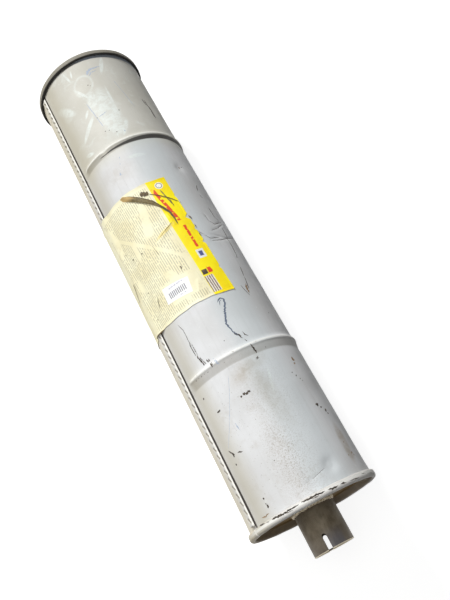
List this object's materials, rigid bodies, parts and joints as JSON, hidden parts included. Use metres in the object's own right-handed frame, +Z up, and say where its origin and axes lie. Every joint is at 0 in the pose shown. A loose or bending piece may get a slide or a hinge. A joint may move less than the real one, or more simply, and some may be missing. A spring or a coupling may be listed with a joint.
{
  "type": "exhaust muffler",
  "caption": "Round straight-through exhaust muffler with lock-seamed beaded shell, rolled rims, recessed end caps and slotted pipe stubs.",
  "frame": {"origin": "on the muffler's axis, midway between the two rim faces", "axes": "+X along the axis towards the outlet stub, +Z up with the muffler lying on its two rims"},
  "size_m": [0.814, 0.1686, 0.1686],
  "materials": {
    "body_enamel": "satin silver-grey heat enamel, scuffed",
    "cap_enamel": "satin silver-grey heat enamel, chipped at the rim",
    "pipe_steel": "dull bare tube with light oxide",
    "weld_metal": "rough weld bead under thin enamel",
    "inner_steel": "plain pressed sheet",
    "steel_wool": "matted fine wire",
    "sound_wool": "matted glass fibre",
    "label_paper": "cream paper with a yellow strip, creased",
    "sticker_paper": "white paper sticker with bars"
  },
  "bodies": {
    "root": {"shell": "body_enamel", "inlet_end_cap": "cap_enamel", "outlet_end_cap": "cap_enamel", "inlet_pipe": "pipe_steel", "outlet_pipe": "pipe_steel", "inlet_pipe_weld": "weld_metal", "outlet_pipe_weld": "weld_metal", "inlet_baffle": "inner_steel", "outlet_baffle": "inner_steel", "core_tube": "inner_steel", "inlet_core_weld": "inner_steel", "outlet_core_weld": "inner_steel", "steel_wool_wrap": "steel_wool", "sound_wool": "sound_wool", "paper_label": "label_paper", "code_sticker": "sticker_paper"}
  },
  "joints": []
}
